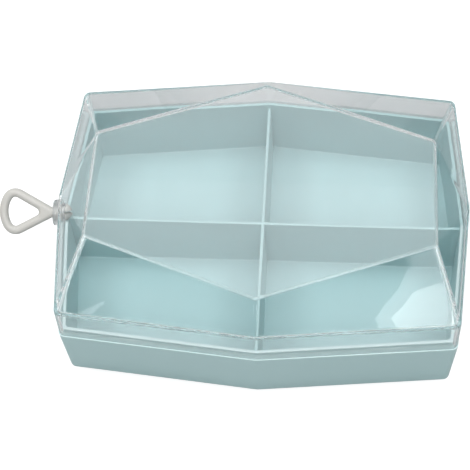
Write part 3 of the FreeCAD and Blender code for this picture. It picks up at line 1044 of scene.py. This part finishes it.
        def zone(row: int, column: int) -> LidZone:
            """Tell the zone of a face from the numbers of its ring and of its point.

            Args:
                row: Number of the ring before the face.
                column: Number of the point before the face, in its ring.

            Returns:
                The edges' zone on soft edges and in the plan's corners, or else the facets'.
            """
            vertex, step = divmod(column, ARC_STEPS + SIDE_STEPS)
            at_corner = vertex % 2 == 1 and CORNER_MARGIN <= step < ARC_STEPS - CORNER_MARGIN
            return LidZone.EDGE if rows[row][1] or at_corner else LidZone.FACET

        lid = skin("clear_lid", [ring for ring, _ in rows], finish=zone)
        for _ in LidZone:
            lid.data.materials.append(None)
        tip, soft = -self.boss_proud, self.boss_soft
        edge = [
            (tip + soft * (1 - math.sin(a)), self.boss_tip_radius - soft * (1 - math.cos(a)))
            for a in [math.pi / 2 * (1 - k / SOFT_STEPS) for k in range(SOFT_STEPS + 1)]
        ]
        join(lid, self.turned_part("boss", [*edge, (self.boss_root, self.boss_radius)]), Join.UNION)
        seat = [(self.seat_root, self.seat_radius), (self.seat_face, self.seat_radius)]
        join(lid, self.turned_part("head_seat", seat), Join.UNION)
        bore = [(2 * tip, self.bore_radius), (2 * self.seat_face, self.bore_radius)]
        join(lid, self.turned_part("bore", bore), Join.DIFFERENCE)
        return lid

    def dress(self, lid: bpy.types.Object) -> None:
        """Shade the lid and give its facets, edges, boss, flat top and rim band their finishes; the
        haze on the edges is a painted highlight, and on the flat top and the rim band a painted
        veil.

        Args:
            lid: The lid, with its edges numbered already.
        """
        smooth(lid, sharp=50.0, flat=50)
        for zone, finish in LID_FINISHES.items():
            lid.data.materials[zone] = finish.material()
        boss_x = -(self.plan.end_reach + self.boss_start) * MM
        band_top = (self.mouth_height + self.grip) * MM
        for face in lid.data.polygons:
            if face.center.x < boss_x:
                face.material_index = LidZone.BOSS
            elif face.center.z > self.top * MM - LEVEL:
                face.material_index = LidZone.TOP
            elif face.material_index == LidZone.FACET and face.center.z < band_top:
                face.material_index = LidZone.RIM


@dataclass
class HangLoop:
    """White hanging eye with its neck, stem and split barbed head, in one moulding.

    It is drawn flat, with its stem along +X and its zero where the swivel's axis crosses the
    lid's end ridge.
    """

    end_reach: float = 60.0
    swivel_height: float = 24.4
    tilt: float = 40.0
    boss_proud: float = 2.3
    neck_length: float = 0.5
    neck_half: float = 1.4
    neck_root: float = 2.8
    neck_root_radius: float = 1.0
    # Shares of the root's length, back from the neck, and of its radius there
    neck_taper: tuple[tuple[float, float], ...] = ((1.0, 0.6), (0.9, 0.9), (0.6, 1.15))
    spread: float = 28.5
    reach: float = 16.49
    corner: float = 4.0
    end: float = 10.0
    strand: float = 2.6
    tip: float = 1.2
    thick: float = 2.7
    soft: float = 1.2
    stem_radius: float = 1.5
    head_start: float = 1.65
    head_length: float = 1.6
    head_radius: float = 2.4
    head_chamfer: float = 0.12
    nose_radius: float = 1.35
    nose_chamfer: float = 0.2
    nose_bulge: float = 0.15
    barb_land: float = 0.4
    slot_width: float = 0.7
    slot_start: float = 0.5

    @property
    def neck_x(self) -> float:
        """Place of the neck's outer end along the stem."""
        return -self.boss_proud - self.neck_length

    def corner_centre(self) -> Vector:
        """Find the centre of the upper corner's circle.

        Returns:
            The centre from which the circle touches both the strand and the end arc.
        """
        slope = math.tan(math.radians(self.spread))
        end_x = self.end - self.boss_proud - self.reach
        lift = self.neck_half - self.corner * math.hypot(1, slope)
        span = self.neck_x - end_x
        square = 1 + slope ** 2
        half_linear = lift * slope - span
        rest = lift ** 2 + span ** 2 - (self.end - self.corner) ** 2
        step = (math.sqrt(half_linear ** 2 - square * rest) - half_linear) / square
        return Vector((self.neck_x - step, lift + step * slope, 0))

    def outline(self, inset: float, height: float, pointed: bool) -> Ring:
        """Make the rounded triangle of the eye.

        Args:
            inset: Distance that it is drawn in.
            height: Distance from the eye's middle plane.
            pointed: True for the opening, whose strands are joined by a small arc; False for
                the rim, whose strands are joined by the neck's width.

        Returns:
            The ring, from the neck's lower side round the end to the lower strand.
        """
        spread = math.radians(self.spread)
        across = math.pi / 2 - spread
        centre = self.corner_centre()
        end_centre = Vector((self.end - self.boss_proud - self.reach, 0, 0))
        bearing = math.atan2(centre.y, centre.x - end_centre.x)

        def arc(middle: Vector, radius: float, start: float, stop: float, steps: int) -> Ring:
            """Make an arc in the eye's plane.

            Args:
                middle: Centre of the arc.
                radius: Its radius.
                start: Angle at which it starts.
                stop: Angle at which it stops.
                steps: Its segments.

            Returns:
                Points of the arc, both ends included.
            """
            angles = [start + (stop - start) * k / steps for k in range(steps + 1)]
            return [
                middle + Vector((radius * math.cos(a), radius * math.sin(a), 0)) for a in angles
            ]

        if pointed:
            overlap = self.strand / math.cos(spread) - self.neck_half
            tip_x = self.neck_x - overlap / math.tan(spread)
            tip_centre = Vector((tip_x - self.tip / math.sin(spread), 0, 0))
            root = arc(tip_centre, self.tip + self.strand - inset, -across, across, ARC_STEPS)
        else:
            half = self.neck_half - inset / math.cos(spread)
            root = along(Vector((self.neck_x, -half, 0)), Vector((self.neck_x, half, 0)))
        corner = arc(centre, self.corner - inset, across, bearing, ARC_STEPS)
        end = arc(end_centre, self.end - inset, bearing, 2 * math.pi - bearing, 2 * ARC_STEPS)
        lower = [Vector((p.x, -p.y, 0)) for p in reversed(corner)]
        ring = [
            *root, *between(root[-1], corner[0]), *corner, *end[1:-1], *lower,
            *between(lower[-1], root[0]),
        ]
        return [point + Vector((0, 0, height)) for point in ring]

    def eye_rings(self) -> list[Ring]:
        """Make the rings of the eye, which run round its strand's soft section.

        Returns:
            Rings from the rim over the top to the opening and back below.
        """
        half = self.thick / 2
        quarter = [
            (self.soft * (1 - math.cos(a)), half - self.soft * (1 - math.sin(a)))
            for a in [math.pi / 2 * k / SOFT_STEPS for k in range(SOFT_STEPS + 1)]
        ]
        outer = [(inset, z, False) for inset, z in quarter]
        inner = [(self.strand - inset, z, True) for inset, z in reversed(quarter)]
        upper = [*outer, *inner]
        lower = [(inset, -z, pointed) for inset, z, pointed in reversed(upper)]
        return [self.outline(*row) for row in [*upper, *lower]]

    def build(self) -> bpy.types.Object:
        """Build the hanging eye's mesh.

        Returns:
            The eye with its stem and slotted head, at its tilt.
        """
        turn = Matrix.Rotation(math.radians(self.tilt), 4, "X")
        place = Matrix.Translation((-self.end_reach, 0, self.swivel_height)) @ turn
        loop = skin("hanging_eye", self.eye_rings(), closed=True, place=place)
        head_end = self.head_start + self.head_length
        stem = [
            *[
                (self.neck_x - self.neck_root * back, self.neck_root_radius * full)
                for back, full in self.neck_taper
            ],
            (self.neck_x, self.stem_radius),
            (self.head_start, self.stem_radius),
            (self.head_start, self.head_radius - self.head_chamfer),
            (self.head_start + self.head_chamfer, self.head_radius),
            (self.head_start + self.barb_land, self.head_radius),
            (head_end - self.nose_chamfer, self.nose_radius + self.nose_bulge),
            (head_end, self.nose_radius - self.nose_chamfer),
        ]
        join(loop, skin("stem", turned(stem), place=place), Join.UNION)
        half = self.slot_width / 2
        side = 2 * self.head_radius
        start, stop = self.slot_start, 2 * head_end
        outline = [(start, -half), (stop, -half), (stop, half), (start, half)]
        slot = [[Vector((x, y, z)) for x, y in outline] for z in (-side, side)]
        join(loop, skin("slot", slot, place=place), Join.DIFFERENCE)
        return loop

    def dress(self, loop: bpy.types.Object) -> None:
        """Shade the hanging eye and give it its finish.

        Args:
            loop: The hanging eye.
        """
        smooth(loop, sharp=45.0)
        loop.data.materials.clear()
        loop.data.materials.append(LOOP_POLYETHYLENE.material())


# Studio


@dataclass(frozen=True)
class SoftBox:
    """Large diffused lamp or lit card, a flat panel, in metres and degrees."""

    name: str
    place: tuple[float, float, float]
    aim: tuple[float, float, float]
    width: float
    depth: float
    radiance: float
    turn: float = 0.0

    def build(self) -> bpy.types.Object:
        """Make the lamp, hidden from the camera.

        Returns:
            The lamp, with its width level unless it is turned about its own axis.
        """
        data = bpy.data.lights.new(self.name, "AREA")
        data.shape = "RECTANGLE"
        data.size = self.width
        data.size_y = self.depth
        data.energy = self.radiance * math.pi * (self.width * self.depth)
        lamp = bpy.data.objects.new(self.name, data)
        sight = Vector(self.aim) - Vector(self.place)
        aim = sight.to_track_quat("-Z", "Y").to_matrix().to_4x4()
        turn = Matrix.Rotation(math.radians(self.turn), 4, "Z")
        lamp.matrix_world = Matrix.Translation(self.place) @ aim @ turn
        lamp.visible_camera = False
        bpy.context.scene.collection.objects.link(lamp)
        return lamp


@dataclass
class Studio:
    """Pale floor, white surroundings, soft lamps and the camera."""

    ambient: float = 0.1
    floor_reach: float = 3.0
    # Share of the reach at which the paper starts to turn up
    floor_flat: float = 0.6
    floor: PaperFloor = PaperFloor()
    lamps: tuple[SoftBox, ...] = (
        # From above, into the compartments; the first is also the white patch at the front right
        SoftBox(
            "overhead", (0.045, -0.173, 1.0), (0.045, -0.173, 0.0), 0.535, 0.57, 3.5, turn=-26.6
        ),
        SoftBox("overhead_back", (0.0, 0.38, 1.0), (0.0, 0.38, 0.0), 0.9, 0.16, 2.5),
        # From both sides and the front, on the walls
        SoftBox("left_side", (-0.57, 0.1, 1.0), (0.0, 0.0, 0.0), 0.4, 0.4, 10.0),
        SoftBox("right_side", (0.57, 0.1, 1.0), (0.0, 0.0, 0.0), 0.4, 0.4, 9.6),
        SoftBox("front_strip", (-0.05, -0.825, 1.0), (-0.05, -0.825, 0.0), 0.28, 0.45, 13.5),
        # Narrow and low in front, for white streaks along the lid's fold
        SoftBox("left_streak", (-0.3, -0.95, 0.3), (0.0, 0.0, 0.03), 0.05, 0.3, 20.0),
        SoftBox("right_streak", (0.185, -0.95, 0.3), (0.0, 0.0, 0.03), 0.05, 0.3, 19.0),
        # Dim panels and cards behind and at the left, which the lid mirrors
        SoftBox("back_strip", (-0.05, 0.565, 1.0), (-0.05, 0.565, 0.0), 0.5, 0.19, 0.7),
        SoftBox("back_panel", (-0.05, 0.82, 1.0), (-0.05, 0.82, 0.0), 0.5, 0.32, 0.5),
        SoftBox("back_card", (0.0, 1.2, 0.13), (0.0, 0.0, 0.13), 3.0, 0.26, 0.45),
        SoftBox("left_card", (-0.82, 0.57, 0.25), (0.0, 0.0, 0.25), 1.0, 0.5, 1.2),
    )
    # Camera, worked out from the box's corners in the photograph; millimetres and degrees
    target: tuple[float, float, float] = (-8.593, -0.151, 15.0)
    distance: float = 436.841
    azimuth: float = 6.582
    elevation: float = 57.452
    roll: float = -3.86
    focal_pixels: float = 1447.601

    def build_floor(self) -> bpy.types.Object:
        """Lay the floor, a large sheet of paper turned up softly at its back.

        Returns:
            The floor, dressed.
        """
        reach, flat = self.floor_reach, self.floor_flat
        rows = [(-reach, 0.0), (reach * flat, 0.0)]
        for k in range(1, UPTURN_STEPS + 1):
            angle = math.pi / 2 * k / UPTURN_STEPS
            run = flat + (1 - flat) * math.sin(angle)
            rows.append((reach * run, reach * (1 - flat) * (1 - math.cos(angle))))
        made = bmesh.new()
        edges = [[made.verts.new((x, y, z)) for x in (-reach, reach)] for y, z in rows]
        for (a, b), (d, c) in zip(edges, edges[1:]):
            made.faces.new((a, b, c, d))
        mesh = bpy.data.meshes.new("floor")
        made.to_mesh(mesh)
        made.free()
        mesh.shade_smooth()
        mesh.materials.append(self.floor.material())
        floor = bpy.data.objects.new("floor", mesh)
        bpy.context.scene.collection.objects.link(floor)
        return floor

    def build_world(self) -> None:
        """Light the scene evenly from all sides, and show white to the camera and through the lid.

        Gloss meets the dim light alone, so that the lid's facets mirror the lamps and not a
        white veil.
        """
        world = bpy.data.worlds.new("studio")
        world.use_nodes = True
        tree = world.node_tree
        tree.nodes.clear()
        path = add_node(tree, "ShaderNodeLightPath")
        seen = add_node(
            tree, "ShaderNodeMath",
            settings={"operation": "MAXIMUM"},
            links={0: path.outputs["Is Camera Ray"], 1: path.outputs["Is Transmission Ray"]},
        )
        even, white = (
            add_node(
                tree, "ShaderNodeBackground",
                values={"Color": linear("#ffffff"), "Strength": strength},
            ).outputs["Background"]
            for strength in (self.ambient, 1.0)
        )
        both = add_node(tree, "ShaderNodeMixShader", links={0: seen.outputs[0], 1: even, 2: white})
        add_node(tree, "ShaderNodeOutputWorld", links={"Surface": both.outputs["Shader"]})
        bpy.context.scene.world = world

    def build_camera(self) -> bpy.types.Object:
        """Place the camera at the photograph's angle.

        Returns:
            The camera, which the scene uses.
        """
        azimuth = math.radians(self.azimuth)
        elevation = math.radians(self.elevation)
        roll = math.radians(self.roll)
        back = Vector((
            math.sin(azimuth) * math.cos(elevation),
            -math.cos(azimuth) * math.cos(elevation),
            math.sin(elevation),
        ))
        level = Vector((math.cos(azimuth), math.sin(azimuth), 0))
        rise = back.cross(level)
        right = level * math.cos(roll) + rise * math.sin(roll)
        up = rise * math.cos(roll) - level * math.sin(roll)
        data = bpy.data.cameras.new("camera")
        data.sensor_width = SENSOR_WIDTH
        data.lens = self.focal_pixels * SENSOR_WIDTH / PHOTO_PIXELS
        data.clip_start = 0.01
        camera = bpy.data.objects.new("camera", data)
        camera.matrix_world = Matrix.Translation(
            (Vector(self.target) + back * self.distance) * MM
        ) @ Matrix((right, up, back)).transposed().to_4x4()
        bpy.context.scene.collection.objects.link(camera)
        bpy.context.scene.camera = camera
        return camera

    def build(self) -> None:
        """Set up the floor, the surroundings, the lamps and the camera."""
        self.build_floor()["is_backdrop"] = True
        self.build_world()
        for lamp in self.lamps:
            lamp.build()
        self.build_camera()
        scene = bpy.context.scene
        scene.view_settings.view_transform = "Standard"
        # Light runs far along inside the clear walls before it leaves at an edge
        scene.cycles.max_bounces = 32
        scene.cycles.glossy_bounces = 24
        scene.cycles.transmission_bounces = 32
        scene.cycles.transparent_max_bounces = 24


def write_sizes() -> None:
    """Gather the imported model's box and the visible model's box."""
    boxes = {"cad": cad_box, "visual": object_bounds()}
    rows = {name: [list(corner) for corner in box] for name, box in boxes.items()}


def main() -> None:
    """Build the box piece by piece, then the studio round it."""
    logging.basicConfig(level=logging.INFO, format="%(name)s: %(message)s")
    plan = Plan()
    for maker, body, node, slot in (
        (Tray(plan), Body.BASE, "base_tray", "tray_plastic"),
        (Lid(plan), Body.COVER, "lid", "clear_plastic"),
        (HangLoop(), Body.LOOP, "hang_loop", "loop_plastic"),
    ):
        piece = maker.build()
        maker.dress(piece)
        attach(piece, body.value)
        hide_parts(node)
        log.info("%s: %d faces, rides on %s", piece.name, len(piece.data.polygons), body.value)
    Studio().build()
    write_sizes()


if __name__ == "__main__":
    main()
